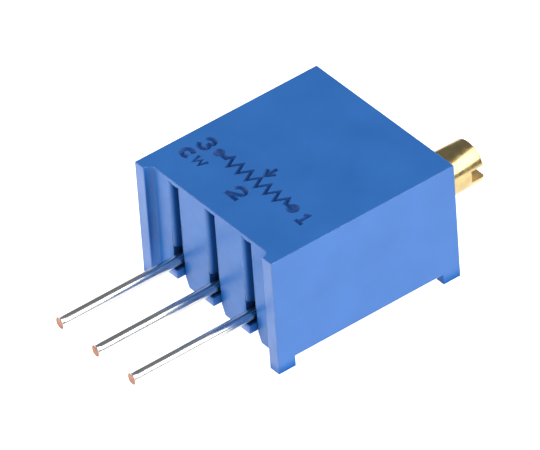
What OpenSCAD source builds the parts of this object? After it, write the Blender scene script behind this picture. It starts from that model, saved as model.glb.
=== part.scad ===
// Square multi-turn trimmer potentiometer with three in-line pins and an end screw.
// It lies on the four feet of its back: +Z is the marked face, the pins leave along -Y
// and the brass adjusting screw stands out along +Y. The origin is under the middle of the
// whole length, at the feet. All sizes are in millimetres.
//
// Heights in the modules are above the feet. Places along Y are counted from the
// seating strips, the two strips of the pin face that stand on a circuit board.

/* [Body] */
// Width of the housing, across the three pins
body_w = 9.53; // [9.4:0.01:11]
// Length of the housing, from the seating strips to the screw face
body_l = 10.03; // [9.9:0.01:12]
// Height of the housing, from the feet to the marked face
body_h = 6.1; // [6:0.01:7.5]
// Thickness of the long side walls
wall_t = 0.5; // [0.45:0.01:0.55]
// Thickness of the marked wall
roof_t = 0.5; // [0.35:0.01:0.5]

/* [Feet and seating strips] */
// Width of each strip and foot
strip_w = 0.62; // [0.5:0.01:0.8]
// How far the strips stand out from the pin face
strip_out = 0.38; // [0.32:0.01:0.45]
// Radius of the fillet between a strip and the pin face
strip_fillet = 0.3; // [0.1:0.01:0.3]
// Height of the feet below the bottom edge of the walls
foot_h = 0.55; // [0.3:0.01:0.55]
// Length of each foot
foot_l = 0.93; // [0.8:0.01:1]

/* [Pins] */
// Distance between neighbouring pins
pin_pitch = 2.54; // [2.5:0.01:2.6]
// Diameter of the round pins
pin_d = 0.51; // [0.4:0.01:0.51]
// Length of the pins beyond the seating strips
pin_out = 6.15; // [2:0.05:12]
// Length of the pins behind the seating strips
pin_in = 2.75; // [2.4:0.05:3.2]
// Thickness of the tin on the free part of the pins
tin_t = 0.005; // [0.002:0.001:0.01]
// Height of the pins' centre line above the feet
pin_z = 1.8; // [1.8:0.01:1.9]
// Width of the mould grooves in line with the pins
groove_w = 0.42; // [0.3:0.01:0.5]
// Depth of the mould grooves
groove_depth = 0.42; // [0.3:0.01:0.45]
// Radius of the grooves' rounded edges
groove_round = 0.18; // [0.05:0.01:0.18]
// Width of the slots that the pins lie in
slot_w = 0.74; // [0.7:0.01:0.9]

/* [Adjusting screw] */
// Diameter of the screw head
head_d = 2.13; // [1.95:0.01:2.3]
// How far the head stands out from the housing
head_out = 1.8; // [1.2:0.01:2.5]
// Distance from the screw's centre line to the outside of the side wall
screw_side = 1.2; // [1.2:0.01:1.3]
// Distance from the screw's centre line to the marked face
screw_down = 1.33; // [1.3:0.01:1.4]
// Width of the screwdriver slot
driver_w = 0.6; // [0.4:0.01:0.8]
// Depth of the screwdriver slot
driver_depth = 0.75; // [0.4:0.01:1]
// Outside diameter of the thread
thread_d = 1.2; // [1.1:0.01:1.2]
// Advance of the carriage for one turn
thread_lead = 0.2; // [0.15:0.01:0.2]
// Number of turns from end to end
thread_turns = 25; // [10:1:25]

/* [Resistance element] */
// Thickness of the ceramic plate
ceramic_t = 0.635; // [0.5:0.005:0.64]
// Thickness of the printed films
film_t = 0.03; // [0.02:0.01:0.03]
// Width of the resistance film
track_w = 1.2; // [0.8:0.05:1.4]
// Width of the collector film
collector_w = 0.9; // [0.8:0.05:1.2]

/* [Carriage] */
// Length of the carriage along the screw
carriage_l = 1.6; // [1.4:0.05:1.6]
// Thickness of the contact spring
spring_t = 0.07; // [0.05:0.01:0.08]
// Diameter of the brush wires
wire_d = 0.11; // [0.1:0.01:0.12]

/* [Fits] */
// Radial clearance of the screw in the carriage and in its bearings
run_gap = 0.03; // [0.02:0.01:0.05]
// Clearance of the carriage between the walls
slide_gap = 0.05; // [0.04:0.01:0.08]
// Space left where two fixed curved faces meet
seat_gap = 0.01; // [0.005:0.005:0.02]

/* [Hidden] */
$fn = 64;
cut = 0.01;

whole_l = pin_out + body_l + head_out;
seat_y = pin_out - whole_l / 2;
half_w = body_w / 2;
inner_w = body_w - 2 * wall_t;
roof_z = body_h - roof_t;
pin_r = pin_d / 2;

// Depths of the steps inside the housing, from the open back upwards
cover_t = 0.47;
cover_top = pin_z - pin_r - seat_gap / 2;
seal_t = 0.4;
plate_z = pin_z + pin_r + seat_gap / 2 + film_t;
film_z = plate_z + ceramic_t;
ledge_z = film_z + film_t;
recess_y = [foot_l, body_l - 0.58];
pocket_y = [strip_out + 0.82, body_l - 1.33];
chamber_y = [strip_out + 1.17, body_l - 1.68];

// Lead screw, from its inner bearing to its head
screw_x = half_w - screw_side;
screw_z = body_h - screw_down;
thread_r = thread_d / 2;
neck_r = thread_r + 0.02;
journal_r = thread_r - 0.15;
journal_y = chamber_y[0] - 0.6;
groove_r = thread_r - 0.22;
head_gap = 0.05;
edge = 0.1;

// Retaining clip and sealing ring, both in the screw wall
clip_t = 0.2;
clip_w = 2 * (half_w - wall_t - screw_x);
clip_y = body_l - 1.03;
clip_gap = 0.03;
ring_r = 0.145;
ring_seat_r = neck_r + 2 * ring_r + 2 * seat_gap;
ring_seat_depth = 0.36;

// Carriage at the middle of its travel
travel = thread_lead * thread_turns;
carriage_y = (chamber_y[0] + chamber_y[1]) / 2;
carriage_z = [3.2, roof_z - slide_gap];
carriage_x = [-half_w + wall_t + slide_gap, screw_x + 0.5];
peg_r = 0.22;
peg_h = 0.14;
track_x = 2.3;
brush_lift = 0.03;
brush_z = ledge_z + brush_lift + wire_d / 2;
bar_z = [brush_z, brush_z + 0.1];
brush_y = carriage_y - 0.45;

// A block given by its limits along X, Y and Z
module block(x, y, z) {
    translate([x[0], y[0], z[0]])
        cube([x[1] - x[0], y[1] - y[0], z[1] - z[0]]);
}

// A round bar along Y, centred at x, z
module rod(x, z, y, r) {
    translate([x, y[0], z])
        rotate([-90, 0, 0])
            cylinder(r = r, h = y[1] - y[0]);
}

// An outline in X and Z, drawn out along Y
module along_y(y) {
    translate([0, y[1], 0])
        rotate([90, 0, 0])
            linear_extrude(y[1] - y[0])
                children();
}

// Puts the seating strips at their place in the finished part
module in_place() {
    translate([0, seat_y, 0])
        children();
}

// Mirror twins on the left and the right
module both_sides() {
    children();
    mirror([1, 0, 0])
        children();
}

// One copy at each of the three pins
module at_pins() {
    for (n = [-1 : 1])
        translate([n * pin_pitch, 0, 0])
            children();
}

// Mould groove in line with a pin, closed just under the marked face
module groove() {
    half_groove = groove_w / 2;
    half_mouth = half_groove + groove_round;
    base = pin_z + pin_d;
    tall = body_h - 0.2 - base;
    translate([0, strip_out, base])
        linear_extrude(tall) {
            translate([-half_groove, -cut])
                square([groove_w, groove_depth + cut]);
            difference() {
                translate([-half_mouth, -cut])
                    square([2 * half_mouth, groove_round + cut]);
                both_sides()
                    translate([half_mouth, groove_round])
                        circle(r = groove_round);
            }
        }
}

// Slot for a pin, open downwards with a flared mouth
module slot_outline(top) {
    half_slot = slot_w / 2;
    half_mouth = half_slot + 0.13;
    polygon([
        [-half_slot, top], [half_slot, top],
        [half_slot, foot_h + 0.5], [half_mouth, foot_h + 0.16], [half_mouth + 0.08, foot_h - cut],
        [-half_mouth - 0.08, foot_h - cut], [-half_mouth, foot_h + 0.16], [-half_slot, foot_h + 0.5]
    ]);
}

// Hollow fillet between a seating strip and the pin face
module strip_corner() {
    inner = half_w - strip_w;
    translate([0, 0, foot_h])
        linear_extrude(body_h - foot_h)
            difference() {
                translate([inner - strip_fillet, strip_out - strip_fillet])
                    square(strip_fillet + cut);
                translate([inner - strip_fillet, strip_out - strip_fillet])
                    circle(r = strip_fillet);
            }
}

// Outer block with the four feet and the two seating strips
module shell() {
    block([-half_w, half_w], [strip_out, body_l], [foot_h, body_h]);
    both_sides() {
        strip_corner();
        block([half_w - strip_w, half_w], [0, strip_out + cut], [0, body_h]);
        block([half_w - strip_w, half_w], [0, foot_l], [0, foot_h + cut]);
        block([half_w - strip_w, half_w], [body_l - foot_l, body_l], [0, foot_h + cut]);
    }
}

// Moulded plastic housing, open at the back
module housing() {
    inner_x = [-inner_w / 2, inner_w / 2];
    color("royalblue")
        in_place()
            difference() {
                shell();
                block(inner_x, recess_y, [-cut, cover_top]);
                block(inner_x, pocket_y, [cover_top - cut, ledge_z]);
                block(inner_x, chamber_y, [ledge_z - cut, roof_z]);
                at_pins() {
                    groove();
                    along_y([strip_out - cut, strip_out + groove_depth])
                        slot_outline(pin_z + pin_d + cut);
                    along_y([strip_out - cut, pocket_y[0] + cut])
                        slot_outline(pin_z + pin_r + 0.06);
                }
                rod(screw_x, screw_z, [journal_y - 0.07, chamber_y[0] + cut], journal_r + run_gap);
                rod(screw_x, screw_z, [chamber_y[1] - cut, body_l + cut], neck_r + run_gap);
                rod(screw_x, screw_z, [body_l - ring_seat_depth, body_l + cut], ring_seat_r);
                block([screw_x - clip_w / 2, screw_x + clip_w / 2], [clip_y, clip_y + clip_t],
                      [cover_top - cut, screw_z + 0.63]);
            }
}

// Plate that closes the back, with a tongue under each pin
module back_cover() {
    half_cover = inner_w / 2 - seat_gap;
    half_tongue = slot_w / 2 - 0.07;
    cover_z = [cover_top - cover_t, cover_top];
    color("royalblue")
        in_place() {
            block([-half_cover, half_cover], [recess_y[0] + seat_gap, recess_y[1] - seat_gap], cover_z);
            at_pins()
                block([-half_tongue, half_tongue], [0, recess_y[0] + 0.1], cover_z);
        }
}

// Cast resin over the back cover
module epoxy_seal() {
    seal_top = cover_top - cover_t;
    color("midnightblue")
        in_place()
            block([-inner_w / 2, inner_w / 2], recess_y, [seal_top - seal_t, seal_top]);
}

// Turned brass screw: inner journal, thread, clip groove, neck and slotted head
module lead_screw() {
    head_y = body_l + head_gap;
    head_r = head_d / 2;
    tip_y = body_l + head_out;
    color("goldenrod")
        in_place()
            difference() {
                union() {
                    rod(screw_x, screw_z, [journal_y, chamber_y[0] + slide_gap + cut], journal_r);
                    rod(screw_x, screw_z, [chamber_y[0] + slide_gap, clip_y - clip_gap], thread_r);
                    rod(screw_x, screw_z, [clip_y - clip_gap - cut, clip_y + clip_t + clip_gap + cut],
                        groove_r);
                    rod(screw_x, screw_z, [clip_y + clip_t + clip_gap, head_y + cut], neck_r);
                    rod(screw_x, screw_z, [head_y, tip_y - edge], head_r);
                    translate([screw_x, tip_y - edge, screw_z])
                        rotate([-90, 0, 0])
                            cylinder(r1 = head_r, r2 = head_r - edge, h = edge);
                }
                block([screw_x - head_d, screw_x + head_d], [tip_y - driver_depth, tip_y + cut],
                      [screw_z - driver_w / 2, screw_z + driver_w / 2]);
            }
}

// Rubber ring that seals the screw's neck
module screw_o_ring() {
    color("dimgray")
        in_place()
            translate([screw_x, body_l - ring_seat_depth + ring_r + seat_gap, screw_z])
                rotate([-90, 0, 0])
                    rotate_extrude()
                        translate([neck_r + seat_gap + ring_r, 0])
                            circle(r = ring_r);
}

// Stamped steel fork pushed up into the screw wall; its legs hold the screw by its groove
module retaining_clip() {
    throat_r = groove_r + clip_gap;
    color("silver")
        in_place()
            difference() {
                block([screw_x - clip_w / 2, screw_x + clip_w / 2], [clip_y, clip_y + clip_t],
                      [cover_top, screw_z + 0.58]);
                rod(screw_x, screw_z, [clip_y - cut, clip_y + clip_t + cut], throat_r);
                block([screw_x - throat_r, screw_x + throat_r], [clip_y - cut, clip_y + clip_t + cut],
                      [screw_z, screw_z + 1]);
            }
}

// Plastic nut block that the screw drives along the chamber, cored out from above
module carriage() {
    run_y = [carriage_y - carriage_l / 2, carriage_y + carriage_l / 2];
    core_x = [carriage_x[0] + 0.5, screw_x - 1.15];
    color("ivory")
        in_place() {
            difference() {
                block(carriage_x, run_y, carriage_z);
                block(core_x, [run_y[0] + 0.35, run_y[1] - 0.35], [carriage_z[0] + 0.6, carriage_z[1] + cut]);
                rod(screw_x, screw_z, [run_y[0] - cut, run_y[1] + cut], thread_r + run_gap);
            }
            at_pegs()
                rod_down(peg_r);
        }
}

// The two moulded pegs that hold the contact spring
module at_pegs() {
    for (x = [track_x, 0])
        translate([x, carriage_y + 0.42, carriage_z[0]])
            children();
}

// A peg, or the hole for one, downwards from the carriage
module rod_down(r) {
    translate([0, 0, -peg_h])
        cylinder(r = r, h = peg_h + cut);
}

// Side outline of the contact spring: plate, bent arm and flat end
module spring_outline() {
    top = carriage_z[0];
    low = bar_z[1];
    polygon([
        [0.75, top], [0.05, top], [-0.25, low + spring_t], [-0.65, low + spring_t],
        [-0.65, low], [-0.23, low], [0.07, top - spring_t], [0.75, top - spring_t]
    ]);
}

// Stamped spring under the carriage: one plate with an arm for each film
module contact_spring() {
    plate_x = [-0.6, track_x + 0.6];
    color("darkkhaki")
        in_place()
            difference() {
                translate([plate_x[0], carriage_y, 0])
                    rotate([90, 0, 90])
                        linear_extrude(plate_x[1] - plate_x[0])
                            spring_outline();
                block([0.35, track_x - 0.45], [carriage_y - 1, carriage_y + 0.05],
                      [bar_z[0], carriage_z[0] + cut]);
                at_pegs()
                    translate([0, 0, -spring_t])
                        rod_down(peg_r + seat_gap);
                at_pegs()
                    rod_down(peg_r + seat_gap);
            }
}

// Row of fine contact wires under a weld bar
module brush(x, wires) {
    pitch = wire_d * 0.9;
    half_row = (wires - 1) / 2;
    in_place() {
        block([x - half_row * pitch, x + half_row * pitch], [brush_y - 0.12, brush_y + 0.12], bar_z);
        for (n = [0 : wires - 1])
            rod(x + (n - half_row) * pitch, brush_z, [brush_y - 0.3, brush_y + 0.25], wire_d / 2);
    }
}

// Brush on the resistance film
module resistance_brush() {
    color("gainsboro")
        brush(track_x, 8);
}

// Brush on the collector film
module collector_brush() {
    color("gainsboro")
        brush(0, 6);
}

// Alumina plate that carries the printed films
module ceramic_plate() {
    half_plate = inner_w / 2 - 0.06;
    color("white")
        in_place()
            block([-half_plate, half_plate], [pocket_y[0] + film_t + seat_gap, pocket_y[1] - 0.08],
                  [plate_z, film_z]);
}

// Resistance film, under the whole travel of its brush
film_y = [carriage_y - travel / 2 - 0.8, carriage_y + travel / 2 + 0.1];
module resistance_film() {
    color("darkslategray")
        in_place()
            block([track_x - track_w / 2, track_x + track_w / 2], film_y, [film_z, ledge_z]);
}

// A film that wraps from the top of the plate over its edge to a pin below
module wrapped_end(x, w) {
    edge_y = pocket_y[0] + seat_gap;
    block([x - w / 2, x + w / 2], [edge_y, film_y[0]], [film_z, ledge_z]);
    block([x - w / 2, x + w / 2], [edge_y, edge_y + film_t], [plate_z - film_t, ledge_z]);
    block([x - w / 2, x + w / 2], [edge_y, pin_in], [plate_z - film_t, plate_z]);
}

// Collector film, from the middle pin along the whole travel
module collector_film() {
    color("lightgray")
        in_place() {
            wrapped_end(0, collector_w);
            block([-collector_w / 2, collector_w / 2], [film_y[0] - cut, film_y[1] - 0.2], [film_z, ledge_z]);
        }
}

// End film of the first pin, which meets the near end of the resistance film
module end_film_1() {
    color("lightgray")
        in_place()
            wrapped_end(pin_pitch, 1.1);
}

// End film of the third pin, led round to the far end of the resistance film
module end_film_3() {
    lane = [-pin_pitch - 0.25, -pin_pitch + 0.25];
    turn_y = [film_y[1], film_y[1] + 0.5];
    color("lightgray")
        in_place() {
            wrapped_end(-pin_pitch, 1.1);
            block(lane, [film_y[0] - cut, turn_y[1]], [film_z, ledge_z]);
            block([lane[0], track_x + track_w / 2], turn_y, [film_z, ledge_z]);
        }
}

// Round wire with a coined shoulder behind the wall. Its tin fades out as it enters the
// housing. The pins count from the screw's side of the housing.
module terminal(n) {
    shoulder_y = [pocket_y[0] + 0.06, pocket_y[0] + 0.36];
    fade_y = [-0.1, 0.5];
    color("silver")
        in_place() {
            rod(n * pin_pitch, pin_z, [-pin_out, fade_y[0]], pin_r);
            translate([n * pin_pitch, fade_y[0], pin_z])
                rotate([-90, 0, 0])
                    cylinder(r1 = pin_r, r2 = pin_r - tin_t, h = fade_y[1] - fade_y[0]);
            rod(n * pin_pitch, pin_z, [fade_y[1], pin_in - 0.05], pin_r - tin_t);
            translate([n * pin_pitch, 0, 0])
                block([-0.42, 0.42], shoulder_y, [pin_z - 0.14, pin_z + 0.14]);
        }
}

module terminal_1() {
    terminal(1);
}

module terminal_2() {
    terminal(0);
}

module terminal_3() {
    terminal(-1);
}

// Solder fillet between a pin and the film under the plate
module solder_joint(n) {
    solder_y = [pocket_y[0] + 0.5, pin_in];
    color("gray")
        in_place()
            translate([n * pin_pitch, 0, 0])
                difference() {
                    intersection() {
                        rod(0, plate_z - film_t, solder_y, 0.42);
                        block([-1, 1], solder_y, [pin_z - pin_r + 0.05, plate_z - film_t]);
                    }
                    rod(0, pin_z, [0, pin_in - 0.04], pin_r + seat_gap / 2);
                }
}

module solder_joint_1() {
    solder_joint(1);
}

module solder_joint_2() {
    solder_joint(0);
}

module solder_joint_3() {
    solder_joint(-1);
}

housing();
back_cover();
epoxy_seal();
lead_screw();
screw_o_ring();
retaining_clip();
carriage();
contact_spring();
resistance_brush();
collector_brush();
ceramic_plate();
resistance_film();
collector_film();
end_film_1();
end_film_3();
terminal_1();
terminal_2();
terminal_3();
solder_joint_1();
solder_joint_2();
solder_joint_3();
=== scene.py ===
import math

import bmesh
import bpy
from mathutils import Matrix, Vector, noise


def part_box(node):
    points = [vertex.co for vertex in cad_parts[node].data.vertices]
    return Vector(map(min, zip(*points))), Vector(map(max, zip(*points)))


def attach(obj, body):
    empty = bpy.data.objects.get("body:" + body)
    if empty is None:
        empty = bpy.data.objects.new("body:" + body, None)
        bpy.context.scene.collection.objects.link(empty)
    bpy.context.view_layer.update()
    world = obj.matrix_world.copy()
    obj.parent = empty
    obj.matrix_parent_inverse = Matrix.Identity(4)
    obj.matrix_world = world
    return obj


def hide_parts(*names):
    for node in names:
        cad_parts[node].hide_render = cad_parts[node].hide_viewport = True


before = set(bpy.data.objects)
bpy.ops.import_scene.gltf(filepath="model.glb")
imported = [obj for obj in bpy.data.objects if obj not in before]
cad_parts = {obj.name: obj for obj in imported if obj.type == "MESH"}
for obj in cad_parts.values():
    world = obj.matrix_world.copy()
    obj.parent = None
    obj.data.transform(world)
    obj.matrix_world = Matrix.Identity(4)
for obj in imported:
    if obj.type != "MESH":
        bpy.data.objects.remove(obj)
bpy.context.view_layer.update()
mm = 0.001


# Housing: one moulding in blue filled polyester, open at the back. The mould leaves slightly
# rounded edges, a satin skin and faint flow marks. Its open edges carry a painted highlight,
# its hollows painted shade, and the front faces of its strips a paler painted reflection.
def new_finish(name, metallic=0.0, ior=1.5):
    finish = bpy.data.materials.new(name)
    finish.use_nodes = True
    shader = finish.node_tree.nodes["Principled BSDF"]
    shader.inputs["Metallic"].default_value = metallic
    shader.inputs["IOR"].default_value = ior
    return finish, shader


def add_node(finish, kind, **settings):
    node = finish.node_tree.nodes.new(kind)
    for key, value in settings.items():
        setattr(node, key, value)
    return node


def wire(finish, start, end):
    finish.node_tree.links.new(start, end)


def mottle(finish, size, detail=3.0, stretch=(1, 1, 1)):
    """Patches about `size` across, drawn out along an axis where stretch is under 1."""
    place = add_node(finish, "ShaderNodeTexCoord")
    scale = add_node(finish, "ShaderNodeMapping")
    patches = add_node(finish, "ShaderNodeTexNoise")
    scale.inputs["Scale"].default_value = stretch
    patches.inputs["Scale"].default_value = 1 / size
    patches.inputs["Detail"].default_value = detail
    wire(finish, place.outputs["Object"], scale.inputs["Vector"])
    wire(finish, scale.outputs["Vector"], patches.inputs["Vector"])
    return patches.outputs["Fac"]


noise_low, noise_high = 0.3, 0.7


def tint(finish, shader, patches, dark, light):
    """The base colour, between two tones."""
    ramp = add_node(finish, "ShaderNodeValToRGB")
    ramp.color_ramp.elements[0].position = noise_low
    ramp.color_ramp.elements[1].position = noise_high
    ramp.color_ramp.elements[0].color = (*dark, 1)
    ramp.color_ramp.elements[1].color = (*light, 1)
    wire(finish, patches, ramp.inputs["Fac"])
    wire(finish, ramp.outputs["Color"], shader.inputs["Base Color"])


def spread(finish, amount, low, high, first=0, last=1):
    """A number that goes from first to last as the amount goes from low to high."""
    node = add_node(finish, "ShaderNodeMapRange")
    node.inputs["From Min"].default_value = low
    node.inputs["From Max"].default_value = high
    node.inputs["To Min"].default_value = first
    node.inputs["To Max"].default_value = last
    wire(finish, amount, node.inputs["Value"])
    return node.outputs["Result"]


def polish(finish, shader, patches, smooth, rough):
    """The roughness, between two values."""
    roughness = spread(finish, patches, noise_low, noise_high, smooth, rough)
    wire(finish, roughness, shader.inputs["Roughness"])


def relief(finish, shader, patches, depth, under=None):
    """Bumps of that depth, laid over the normal from under; gives back the new normal."""
    bump = add_node(finish, "ShaderNodeBump")
    bump.inputs["Strength"].default_value = 1.0
    bump.inputs["Distance"].default_value = depth
    wire(finish, patches, bump.inputs["Height"])
    if under is not None:
        wire(finish, under, bump.inputs["Normal"])
    wire(finish, bump.outputs["Normal"], shader.inputs["Normal"])
    return bump.outputs["Normal"]


def blend(finish, shader, amount, colour, low, high):
    """Moves the base colour towards another one as the amount goes from low to high."""
    mix = add_node(finish, "ShaderNodeMix", data_type="RGBA")
    factor, first, second, result = mix.inputs[0], mix.inputs[6], mix.inputs[7], mix.outputs[2]
    second.default_value = (*colour, 1)
    base = shader.inputs["Base Color"].links[0].from_socket
    wire(finish, spread(finish, amount, low, high), factor)
    wire(finish, base, first)
    wire(finish, result, shader.inputs["Base Color"])


def weighted(finish, amount, weight, rest):
    """The amount times its weight, plus the rest."""
    total = add_node(finish, "ShaderNodeMath", operation="MULTIPLY_ADD")
    total.inputs[1].default_value = weight
    wire(finish, amount, total.inputs[0])
    wire(finish, rest, total.inputs[2])
    return total.outputs["Value"]


def blue_moulding(name, dark, light, roughness):
    finish, shader = new_finish(name, ior=1.47)
    tint(finish, shader, mottle(finish, 2.2 * mm, 6), dark, light)

    # Painted highlight: paler in specks where the rounded normal leaves the true one, but not in the
    # hollows.
    hollow = add_node(finish, "ShaderNodeAmbientOcclusion", samples=8)
    hollow.inputs["Distance"].default_value = 0.6 * mm
    openness = hollow.outputs["AO"]
    place = add_node(finish, "ShaderNodeNewGeometry")
    rounded = add_node(finish, "ShaderNodeBevel", samples=6)
    rounded.inputs["Radius"].default_value = 0.08 * mm
    flatness = add_node(finish, "ShaderNodeVectorMath", operation="DOT_PRODUCT")
    wire(finish, place.outputs["Normal"], flatness.inputs[0])
    wire(finish, rounded.outputs["Normal"], flatness.inputs[1])
    open_edge = weighted(finish, openness, -1.5, flatness.outputs["Value"])
    edge_highlight = weighted(finish, mottle(finish, 0.25 * mm, 4), 0.3, open_edge)
    # The paler blue is a painted highlight along the open edges.
    highlight_blue = (0.17, 0.32, 0.68)
    blend(finish, shader, edge_highlight, highlight_blue, -0.43, -0.5)

    # Painted shade: the hollows are darkened towards a shadow blue, and their reflections are turned
    # down.
    shadow_blue = (0.012, 0.038, 0.12)
    blend(finish, shader, openness, shadow_blue, 0.7, 0.2)
    gloss = spread(finish, openness, 0.76, 0.95, 0.04, 0.5)
    wire(finish, gloss, shader.inputs["Specular IOR Level"])

    # Painted reflection: the front faces of the seating strips are paler in patches, for the bright
    # light they reflect.
    parts = add_node(finish, "ShaderNodeSeparateXYZ")
    wire(finish, place.outputs["Position"], parts.inputs["Vector"])
    strip_reflection = weighted(finish, mottle(finish, 1.2 * mm, 5), 0.06 * mm, parts.outputs["Y"])
    # The paler blue here is a painted reflection.
    reflection_blue = (0.092, 0.182, 0.445)
    blend(finish, shader, strip_reflection, reflection_blue, housing_low.y + 0.06 * mm, housing_low.y + 0.02 * mm)

    polish(finish, shader, mottle(finish, 0.5 * mm, 4), roughness - 0.04, roughness + 0.06)
    skin = relief(finish, shader, mottle(finish, 0.09 * mm, 3), 0.0009 * mm, rounded.outputs["Normal"])
    relief(finish, shader, mottle(finish, 1.6 * mm, 2), 0.01 * mm, skin)
    return finish


def as_piece(name, mesh):
    data = bpy.data.meshes.new(name)
    mesh.to_mesh(data)
    mesh.free()
    piece = bpy.data.objects.new(name, data)
    bpy.context.collection.objects.link(piece)
    return piece


def wear(piece, finish):
    piece.material_slots[0].material = finish


def soften(piece, width, angle=30):
    """Joins the faces into whole flats, then rounds the edges that turn by more than angle."""
    weld = piece.modifiers.new("weld", "WELD")
    weld.merge_threshold = 1e-7
    flat = piece.modifiers.new("flat", "DECIMATE")
    flat.decimate_type = "DISSOLVE"
    flat.angle_limit = math.radians(0.5)
    round_edges = piece.modifiers.new("round_edges", "BEVEL")
    round_edges.width = width
    round_edges.segments = 2
    round_edges.limit_method = "ANGLE"
    round_edges.angle_limit = math.radians(angle)
    round_edges.use_clamp_overlap = False


def even_normals(piece):
    shade = piece.modifiers.new("even_normals", "WEIGHTED_NORMAL")
    shade.weight = 80


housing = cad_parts["housing"]
housing_low, housing_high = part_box("housing")
blue = blue_moulding("blue_plastic", (0.017, 0.113, 0.38), (0.022, 0.131, 0.42), 0.33)
wear(housing, blue)
soften(housing, 0.02 * mm, 50)


# Marking: the terminal numbers, a resistor symbol with its wiper arrow, and the sense of
# rotation, burnt into the marked face by a laser as shallow cuts with sloping walls. Places on
# the face are in mm, from its corner at the pins, to the right and away from the pins.
def arc(x, y, wide, high, start, end, steps=12):
    """Points on an ellipse; the turns are in degrees, anticlockwise from the right."""
    turns = [math.radians(start + (end - start) * n / steps) for n in range(steps + 1)]
    return [(x + wide * math.cos(turn), y + high * math.sin(turn)) for turn in turns]


def band(points, half_width):
    """The outline of a line of that width along the points, with blunt corners."""
    longest_corner, sharpest = 1.35, 0.2
    left, right = [], []
    spots = [Vector(point) for point in points]
    for n, spot in enumerate(spots):
        before = (spot - spots[n - 1]).normalized() if n else (spots[1] - spot).normalized()
        after = (spots[n + 1] - spot).normalized() if n + 1 < len(spots) else before
        side = Vector((-(before + after).y, (before + after).x)).normalized()
        reach = min(longest_corner, 1 / max(sharpest, side.dot(Vector((-before.y, before.x)))))
        past = before if n + 1 == len(spots) else -before if n == 0 else Vector((0, 0))
        end = half_width * past
        left.append(spot + side * half_width * reach + 0.5 * end)
        right.append(spot - side * half_width * reach + 0.5 * end)
    return right + left[::-1]


def laser_cut(mesh, outline_at, depth):
    """Adds one cut: a melted rim, then steeper walls down to a narrow floor."""
    above, rim = (0, -depth), (0, 0)
    slope, floor = (0.035, 0.3 * depth), (0.075, depth)
    rings = [[mesh.verts.new((housing_low.x + spot.x * mm, housing_low.y + spot.y * mm,
                              housing_high.z - down)) for spot in outline_at(inset)]
             for inset, down in (above, rim, slope, floor)]
    count = len(rings[0])
    for one, two in zip(rings, rings[1:]):
        for n in range(count):
            mesh.faces.new((two[n], two[(n + 1) % count], one[(n + 1) % count], one[n]))
    mesh.faces.new(rings[0])
    mesh.faces.new(rings[-1][::-1])


def line_cut(mesh, points, half_width=0.125, depth=0.1 * mm):
    laser_cut(mesh, lambda inset: band(points, half_width - inset), depth)


def disc_cut(mesh, x, y, r, depth):
    def outline_at(inset):
        return [Vector(spot) for spot in arc(x, y, r - inset, r - inset, 0, 345, 23)]
    laser_cut(mesh, outline_at, depth)


def engrave(name, mesh):
    """Cuts the hidden tool out of the housing, and lines the cuts with a darker blue: painted shade.
    """
    tool = as_piece(name, mesh)
    tool.data.materials.append(cut_shade_blue)
    tool.hide_render = True
    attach(tool, "case")
    cut = housing.modifiers.new(name, "BOOLEAN")
    cut.operation = "DIFFERENCE"
    cut.solver = "EXACT"
    cut.material_mode = "TRANSFER"
    cut.object = tool


# The cuts' lining: a darker copy of the blue, painted shade in the cuts.
cut_shade_blue = blue_moulding("cut_shade_blue", (0.009, 0.052, 0.21), (0.012, 0.063, 0.25), 0.42)
resistor_y, arrow_x = 3.07, 4.58
lines = bmesh.new()
teeth = [(2.66 + 0.32 * n, 3.36 if n % 2 == 0 else 2.78) for n in range(13)]
line_cut(lines, [(2.1, resistor_y), (2.5, resistor_y)] + teeth + [(6.68, 3.05), (7.0, 3.05)])
line_cut(lines, [(arrow_x, 4.2), (arrow_x, 3.62)], 0.1)
line_cut(lines, arc(1.12, 3.27, 0.24, 0.18, 165, -75), 0.12)
line_cut(lines, [(7.88, 3.16), (8.04, 3.27), (8.04, 2.66)], 0.11)
line_cut(lines, arc(4.7, 2.1, 0.3, 0.22, 170, -35) + [(4.38, 1.66)], 0.12)
line_cut(lines, arc(1.05, 2.08, 0.28, 0.24, 50, 310))
line_cut(lines, [(1.58, 2.3), (1.7, 1.88), (1.88, 2.22), (2.06, 1.88), (2.18, 2.3)], 0.085)
engrave("first_pass", lines)

# What crosses or meets another stroke is cut in a second pass, a little less deep.
shallow = 0.09 * mm
crossings = bmesh.new()
disc_cut(crossings, 1.97, 3.1, 0.27, shallow)
disc_cut(crossings, 7.16, 3.06, 0.31, shallow)
line_cut(crossings, [(4.34, 3.92), (arrow_x, 3.52), (4.82, 3.92)], 0.1, shallow)
line_cut(crossings, arc(1.12, 2.92, 0.27, 0.19, 75, -165), 0.12, shallow)
line_cut(crossings, [(7.86, 2.66), (8.24, 2.66)], 0.1, shallow)
line_cut(crossings, [(4.34, 1.64), (5.04, 1.64)], 0.12, shallow)
engrave("second_pass", crossings)
even_normals(housing)


# Sealing ring: a small ring moulded in black rubber. It is pushed on the screw's neck, and
# sits in the end wall's bore to keep damp and resin out.
rubber, shader = new_finish("seal_rubber")
tint(rubber, shader, mottle(rubber, 0.2 * mm), (0.012, 0.012, 0.013), (0.03, 0.03, 0.032))
polish(rubber, shader, mottle(rubber, 0.05 * mm), 0.5, 0.7)
relief(rubber, shader, mottle(rubber, 0.03 * mm), 0.002 * mm)
wear(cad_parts["screw_o_ring"], rubber)


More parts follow.
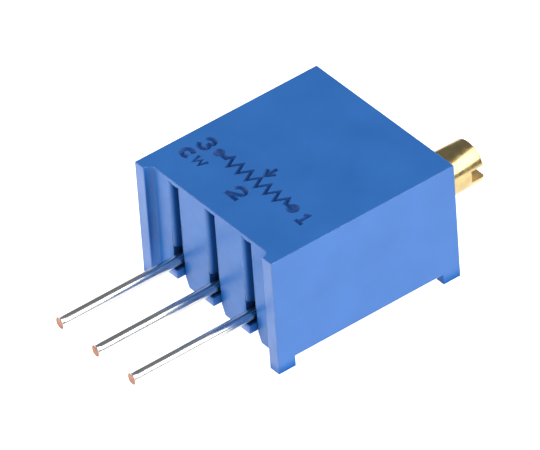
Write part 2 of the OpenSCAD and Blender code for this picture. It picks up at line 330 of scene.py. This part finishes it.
# Adjusting screw: turned from brass bar. The shank carries a fine right-hand thread and a
# bearing journal; the head stands out of the end wall on a plain neck and takes a screwdriver.
def turned(name, centre, outline, steps=96, cut=None):
    """A piece turned about an axis along Y, from its (place, radius) outline, less a cut."""
    mesh = bmesh.new()
    rings = []
    for y, r in outline:
        loop = []
        for n in range(steps):
            angle = 2 * math.pi * n / steps
            bite = cut(y, angle) if cut else 0
            loop.append(mesh.verts.new((centre.x + (r - bite) * math.sin(angle), y,
                                        centre.z + (r - bite) * math.cos(angle))))
        rings.append(loop)
    for one, two in zip(rings, rings[1:]):
        for n in range(steps):
            mesh.faces.new((one[n], one[(n + 1) % steps], two[(n + 1) % steps], two[n]))
    mesh.faces.new(rings[0][::-1])
    mesh.faces.new(rings[-1])
    bmesh.ops.recalc_face_normals(mesh, faces=mesh.faces)
    for face in mesh.faces:
        face.smooth = True
    return as_piece(name, mesh)


def turned_brass(name, axis, dark, light, smooth=0.16, rough=0.28):
    """Brass with tool marks that run round the axis, on the sides and on the end faces."""
    finish, shader = new_finish(name, metallic=1.0)
    place = add_node(finish, "ShaderNodeTexCoord")
    offset = add_node(finish, "ShaderNodeVectorMath", operation="SUBTRACT")
    offset.inputs[1].default_value = (axis.x, 0, axis.z)
    across = add_node(finish, "ShaderNodeVectorMath", operation="MULTIPLY")
    across.inputs[1].default_value = (1, 0, 1)
    radius = add_node(finish, "ShaderNodeVectorMath", operation="LENGTH")
    parts = add_node(finish, "ShaderNodeSeparateXYZ")
    track = add_node(finish, "ShaderNodeCombineXYZ")
    lines = add_node(finish, "ShaderNodeTexNoise")
    lines.inputs["Scale"].default_value = 1 / (0.06 * mm)
    lines.inputs["Detail"].default_value = 2
    wire(finish, place.outputs["Object"], offset.inputs[0])
    wire(finish, offset.outputs["Vector"], across.inputs[0])
    wire(finish, across.outputs["Vector"], radius.inputs[0])
    wire(finish, offset.outputs["Vector"], parts.inputs["Vector"])
    wire(finish, parts.outputs["Y"], track.inputs["X"])
    wire(finish, radius.outputs["Value"], track.inputs["Y"])
    wire(finish, track.outputs["Vector"], lines.inputs["Vector"])
    tint(finish, shader, mottle(finish, 0.7 * mm, 4), dark, light)
    polish(finish, shader, mottle(finish, 0.3 * mm, 4), smooth, rough)
    relief(finish, shader, lines.outputs["Fac"], 0.002 * mm)
    return finish


screw_low, screw_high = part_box("lead_screw")
clip_low, clip_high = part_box("retaining_clip")
screw_axis = (screw_low + screw_high) / 2
head_r = (screw_high.x - screw_low.x) / 2
head_y = housing_high.y + 0.05 * mm
neck_r = 0.62 * mm
groove_r = 0.38 * mm
clip_side = 0.03 * mm
brass = turned_brass("screw_brass", screw_axis, (0.46, 0.345, 0.15), (0.58, 0.44, 0.21))
# The slot's sawn faces: a rougher brass, lighter in colour than the turned faces, painted light in the
# slot.
sawn_brass_painted_light = turned_brass("sawn_brass_painted_light", screw_axis, (0.62, 0.45, 0.20), (0.76, 0.57, 0.28),
                          0.4, 0.55)

journal_r = 0.45 * mm
journal_chamfer = 0.03 * mm
thread_r = 0.6 * mm
thread_depth = 0.12 * mm
thread_lead = 0.2 * mm
thread_start = screw_low.y + 0.65 * mm
thread_end = clip_low.y - clip_side
thread_rings = 8 * int((thread_end - thread_start) / thread_lead)


def thread_cut(y, angle):
    """How deep the V of the thread is here; it runs out at both ends."""
    if not thread_start < y < thread_end:
        return 0
    phase = ((y - thread_start) / thread_lead - angle / (2 * math.pi)) % 1
    run_out = min(1, (y - thread_start) / thread_lead, (thread_end - y) / thread_lead)
    return thread_depth * (1 - abs(2 * phase - 1)) * run_out


shank_outline = [(screw_low.y, journal_r - journal_chamfer),
                 (screw_low.y + journal_chamfer, journal_r),
                 (thread_start - 0.02 * mm, journal_r), (thread_start, thread_r)]
shank_outline += [(thread_start + (thread_end - thread_start) * n / thread_rings, thread_r)
                  for n in range(1, thread_rings)]
shank_outline += [(thread_end, thread_r), (thread_end, groove_r),
                  (clip_high.y + clip_side, groove_r)]
screw_shank = turned("screw_shank", screw_axis, shank_outline, 48, thread_cut)

head_chamfer = 0.1 * mm
head_outline = [(clip_high.y + clip_side, neck_r), (head_y, neck_r), (head_y, head_r),
                (screw_high.y - head_chamfer, head_r), (screw_high.y, head_r - head_chamfer)]
screw_head = turned("screw_head", screw_axis, head_outline)
slot_depth, slot_width = 0.75 * mm, 0.6 * mm
slot_mesh = bmesh.new()
bmesh.ops.create_cube(slot_mesh, size=1)
bmesh.ops.scale(slot_mesh, vec=(4 * head_r, 2 * slot_depth, slot_width), verts=slot_mesh.verts)
bmesh.ops.translate(slot_mesh, vec=(screw_axis.x, screw_high.y, screw_axis.z), verts=slot_mesh.verts)
slot_tool = as_piece("slot_tool", slot_mesh)
slot_tool.data.materials.append(sawn_brass_painted_light)
slot_tool.hide_render = True
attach(slot_tool, "adjuster")
slot = screw_head.modifiers.new("slot", "BOOLEAN")
slot.operation = "DIFFERENCE"
slot.solver = "EXACT"
slot.material_mode = "TRANSFER"
slot.object = slot_tool
soften(screw_head, 0.025 * mm, 35)
even_normals(screw_head)
for piece in (screw_shank, screw_head):
    piece.data.materials.append(brass)
    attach(piece, "adjuster")
    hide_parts("lead_screw")


# Retaining clip: a small fork stamped from spring steel strip, pushed up into the end wall
# so that its legs stand in the screw's groove.
def worked_metal(name, dark, light, smooth, rough, grain=(1, 1, 1), size=0.12 * mm,
                 depth=0.001 * mm):
    """Metal with a fine grain of that size, drawn out along the axis where grain is under 1."""
    finish, shader = new_finish(name, metallic=1.0)
    tint(finish, shader, mottle(finish, 4 * size, 4, grain), dark, light)
    polish(finish, shader, mottle(finish, 2 * size, 4, grain), smooth, rough)
    relief(finish, shader, mottle(finish, size, 3, grain), depth)
    return finish


def dress(node, finish, edge, angle=30):
    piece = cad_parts[node]
    wear(piece, finish)
    soften(piece, edge, angle)
    even_normals(piece)


dress("retaining_clip", worked_metal("clip_steel", (0.42, 0.43, 0.45), (0.56, 0.57, 0.58),
                                     0.22, 0.34, (1, 1, 0.15)), 0.015 * mm)


# Carriage: a moulded ivory nut block with a cored-out back. It runs along the screw and
# carries the contact spring on two pegs.
def pale_moulding(name, dark, light):
    finish, shader = new_finish(name)
    tint(finish, shader, mottle(finish, 0.9 * mm, 5), dark, light)
    polish(finish, shader, mottle(finish, 0.3 * mm, 3), 0.36, 0.5)
    relief(finish, shader, mottle(finish, 0.06 * mm, 3), 0.0015 * mm)
    return finish


dress("carriage", pale_moulding("carriage_plastic", (0.66, 0.60, 0.46), (0.76, 0.71, 0.58)),
      0.03 * mm)


# Contact spring: stamped and bent from thin spring alloy strip, with one arm for each film.
# It is pressed onto the pegs of the carriage.
dress("contact_spring", worked_metal("spring_alloy", (0.62, 0.52, 0.34), (0.74, 0.64, 0.44),
                                     0.2, 0.32, (0.2, 1, 1)), 0.008 * mm)


# Brushes: rows of fine precious-metal wires, welded side by side to a bar under each arm of
# the spring. They run on the films and join the resistance film to the collector.
wire_metal = worked_metal("brush_wire", (0.70, 0.68, 0.64), (0.84, 0.82, 0.78), 0.15, 0.26,
                          (1, 0.1, 1), 0.03 * mm, 0.0004 * mm)
for node in ("resistance_brush", "collector_brush"):
    dress(node, wire_metal, 0.006 * mm, 50)


# Ceramic plate: pressed and fired white alumina, with a fine open grain. It lies in the
# housing's recess and carries the films.
alumina, shader = new_finish("alumina", ior=1.7)
tint(alumina, shader, mottle(alumina, 0.4 * mm, 5), (0.74, 0.73, 0.69), (0.84, 0.83, 0.80))
polish(alumina, shader, mottle(alumina, 0.1 * mm), 0.5, 0.66)
relief(alumina, shader, mottle(alumina, 0.02 * mm, 4), 0.0012 * mm)
dress("ceramic_plate", alumina, 0.03 * mm)


# Films: inks screened on the plate and fired. The resistance film is dark and glassy, the
# collector and end films are silver alloy that wraps over the plate's edge to the pins.
ink, shader = new_finish("resistance_ink", ior=1.6)
tint(ink, shader, mottle(ink, 0.12 * mm, 5), (0.018, 0.020, 0.022), (0.045, 0.048, 0.05))
polish(ink, shader, mottle(ink, 0.08 * mm), 0.28, 0.42)
relief(ink, shader, mottle(ink, 0.05 * mm, 3), 0.0015 * mm)
wear(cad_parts["resistance_film"], ink)
silver = worked_metal("conductor_film", (0.55, 0.54, 0.51), (0.68, 0.67, 0.64), 0.36, 0.5,
                      size=0.05 * mm, depth=0.0015 * mm)
for node in ("collector_film", "end_film_1", "end_film_3"):
    wear(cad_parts[node], silver)


# Pins: drawn copper wire, dipped in tin and cropped to length. The crop leaves bare copper
# with a slightly flared, torn rim; a coined shoulder holds each pin behind the wall.
def tin_ripple(pin_number, tip):
    """Slight waves in the tin, and a lip that the cropping pliers pulled up at the tip."""
    wave_length, wave_height = 0.9 * mm, 0.0015 * mm
    lip_height, lip_length, lip_turn = 0.06 * mm, 0.13 * mm, 0.3

    def cut(y, angle):
        place = Vector((math.sin(angle) * 0.6, y / wave_length,
                        math.cos(angle) * 0.6 + 7 * pin_number))
        lip = lip_height * max(0, math.cos(angle + lip_turn)) ** 3 * max(0, 1 - (y - tip) / lip_length)
        return wave_height * (1 + noise.noise(place)) - lip
    return cut


def pin_outline(low, high, r):
    """From the cropped tip, which is flared with a neck behind it, to the end in the solder."""
    bare_r = r - 0.005 * mm
    crop = [(low.y, 0.86 * r), (low.y + 0.006 * mm, 0.98 * r), (low.y + 0.02 * mm, 1.07 * r),
            (low.y + 0.06 * mm, 1.05 * r), (low.y + 0.14 * mm, 0.97 * r), (low.y + 0.3 * mm, r)]
    tinned = [(low.y + (0.3 + 0.28 * n) * mm, r) for n in range(1, 21)]
    inside = [(housing_low.y + 0.5 * mm, bare_r), (high.y - 0.02 * mm, bare_r),
              (high.y, 0.9 * bare_r)]
    return crop + tinned + inside


tin, shader = new_finish("tinned_copper", metallic=1.0)
tint(tin, shader, mottle(tin, 0.5 * mm, 4, (1, 0.25, 1)), (0.60, 0.60, 0.585), (0.74, 0.735, 0.72))
# The tin's grazing reflections are tinted grey: painted shade along the pins' edges.
shader.inputs["Specular Tint"].default_value = (0.55, 0.55, 0.56, 1)
polish(tin, shader, mottle(tin, 0.25 * mm, 4, (1, 0.3, 1)), 0.15, 0.27)
drawn = relief(tin, shader, mottle(tin, 0.05 * mm, 3, (1, 0.04, 1)), 0.0004 * mm)
relief(tin, shader, mottle(tin, 0.5 * mm, 2, (1, 0.4, 1)), 0.0015 * mm, drawn)
copper = worked_metal("cut_copper", (0.20, 0.09, 0.055), (0.46, 0.22, 0.14), 0.32, 0.48,
                      size=0.06 * mm, depth=0.008 * mm)
crop_depth = 0.013 * mm
shoulder_size = (0.84 * mm, 0.3 * mm, 0.28 * mm)
shoulder_y = housing_low.y + 1.41 * mm
for number in (1, 2, 3):
    node = f"terminal_{number}"
    low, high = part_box(node)
    pin_axis = (low + high) / 2
    pin_r = (high.z - low.z) / 2
    pin = turned(f"pin_{number}", pin_axis, pin_outline(low, high, pin_r), 40,
                 tin_ripple(number, low.y))
    pin.data.materials.append(tin)
    pin.data.materials.append(copper)
    for face in pin.data.polygons:
        if face.center.y < low.y + crop_depth:
            face.material_index = 1
    shoulder_mesh = bmesh.new()
    bmesh.ops.create_cube(shoulder_mesh, size=1)
    bmesh.ops.scale(shoulder_mesh, vec=shoulder_size, verts=shoulder_mesh.verts)
    bmesh.ops.translate(shoulder_mesh, vec=(pin_axis.x, shoulder_y, pin_axis.z),
                        verts=shoulder_mesh.verts)
    shoulder = as_piece(f"pin_shoulder_{number}", shoulder_mesh)
    shoulder.data.materials.append(tin)
    soften(shoulder, 0.03 * mm)
    for piece in (pin, shoulder):
        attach(piece, "case")
        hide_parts(node)


# Solder joints: tin alloy, melted on to join each pin to the film that wraps under the
# plate. It sets as a bright fillet.
solder = worked_metal("solder", (0.55, 0.55, 0.54), (0.70, 0.70, 0.69), 0.18, 0.34,
                      size=0.1 * mm, depth=0.003 * mm)
for number in (1, 2, 3):
    dress(f"solder_joint_{number}", solder, 0.02 * mm, 40)


# Back cover: a flat moulding in the same blue, laid over the pins; its tongues close the
# slots under them.
dress("back_cover", blue, 0.035 * mm)


# Epoxy seal: dark blue resin, cast over the cover to close the back. It levels by its own
# flow and sets with a smooth skin.
resin, shader = new_finish("sealing_resin", ior=1.55)
tint(resin, shader, mottle(resin, 1.4 * mm, 4), (0.010, 0.022, 0.075), (0.018, 0.036, 0.11))
polish(resin, shader, mottle(resin, 0.8 * mm), 0.1, 0.2)
relief(resin, shader, mottle(resin, 1.5 * mm, 2), 0.03 * mm)
dress("epoxy_seal", resin, 0.03 * mm)


# Studio: a pale glowing table in a dim room, with one large soft light behind on the right
# and one in front on the left. Nothing hangs over the object, so its marked face stays dull.
table_mesh = bmesh.new()
bmesh.ops.create_grid(table_mesh, x_segments=8, y_segments=8, size=1.5)
under_feet = 0.01 * mm
bmesh.ops.translate(table_mesh, vec=(0, 0, -under_feet), verts=table_mesh.verts)
table = as_piece("table", table_mesh)
table_white, shader = new_finish("table_white")
tint(table_white, shader, mottle(table_white, 30 * mm), (0.60, 0.60, 0.60), (0.64, 0.64, 0.64))
shader.inputs["Roughness"].default_value = 0.9
shader.inputs["Specular IOR Level"].default_value = 0.0
shader.inputs["Emission Color"].default_value = (1.0, 1.0, 1.0, 1)
shader.inputs["Emission Strength"].default_value = 1.18
table.data.materials.append(table_white)

room = bpy.data.worlds.new("room")
room.use_nodes = True
room.node_tree.nodes["Background"].inputs["Color"].default_value = (0.92, 0.96, 1.0, 1)
room.node_tree.nodes["Background"].inputs["Strength"].default_value = 0.25
bpy.context.scene.world = room

centre = (housing_low + housing_high) / 2


def direction(azimuth, elevation):
    """Towards a point round the object: azimuth 0 is in front of the pins, 90 is to the right."""
    turn, lift = math.radians(azimuth), math.radians(elevation)
    return Vector((math.sin(turn) * math.cos(lift), -math.cos(turn) * math.cos(lift), math.sin(lift)))


def soft_light(name, azimuth, elevation, size, power):
    """A large lit sheet that faces the object from 0.2 m; size in metres, power in watts."""
    lamp = bpy.data.lights.new(name, "AREA")
    lamp.shape = "RECTANGLE"
    lamp.size, lamp.size_y = size
    lamp.energy = power
    light = bpy.data.objects.new(name, lamp)
    bpy.context.collection.objects.link(light)
    towards = direction(azimuth, elevation)
    light.location = centre + 0.20 * towards
    light.rotation_euler = towards.to_track_quat("Z", "Y").to_euler()


soft_light("right_light", 130, 41, (0.34, 0.15), 0.66)
soft_light("left_light", -45, 22, (0.17, 0.14), 0.34)


# Camera: a long lens, looking down on the marked face from the pins' right. It is held almost
# level, and points a little to one side of the object's middle.
camera_azimuth, camera_elevation = 54.525, 38.602
tilt = math.radians(-4.301)
distance = 436.15 * mm
shift_right, shift_up = -1.211 * mm, -0.267 * mm
camera_data = bpy.data.cameras.new("camera")
camera_data.sensor_width = 36
camera_data.lens = 672.2
camera_data.clip_start = 0.01
camera_data.clip_end = 10
camera = bpy.data.objects.new("camera", camera_data)
bpy.context.collection.objects.link(camera)
away = direction(camera_azimuth, camera_elevation)
heading = math.radians(camera_azimuth)
level_right = Vector((math.cos(heading), math.sin(heading), 0))
level_up = away.cross(level_right)
right = level_right * math.cos(tilt) + level_up * math.sin(tilt)
up = level_up * math.cos(tilt) - level_right * math.sin(tilt)
camera.matrix_world = Matrix((right, up, away)).transposed().to_4x4()
camera.location = centre + shift_right * right + shift_up * up + distance * away
bpy.context.scene.camera = camera
bpy.context.scene.view_settings.view_transform = "Standard"
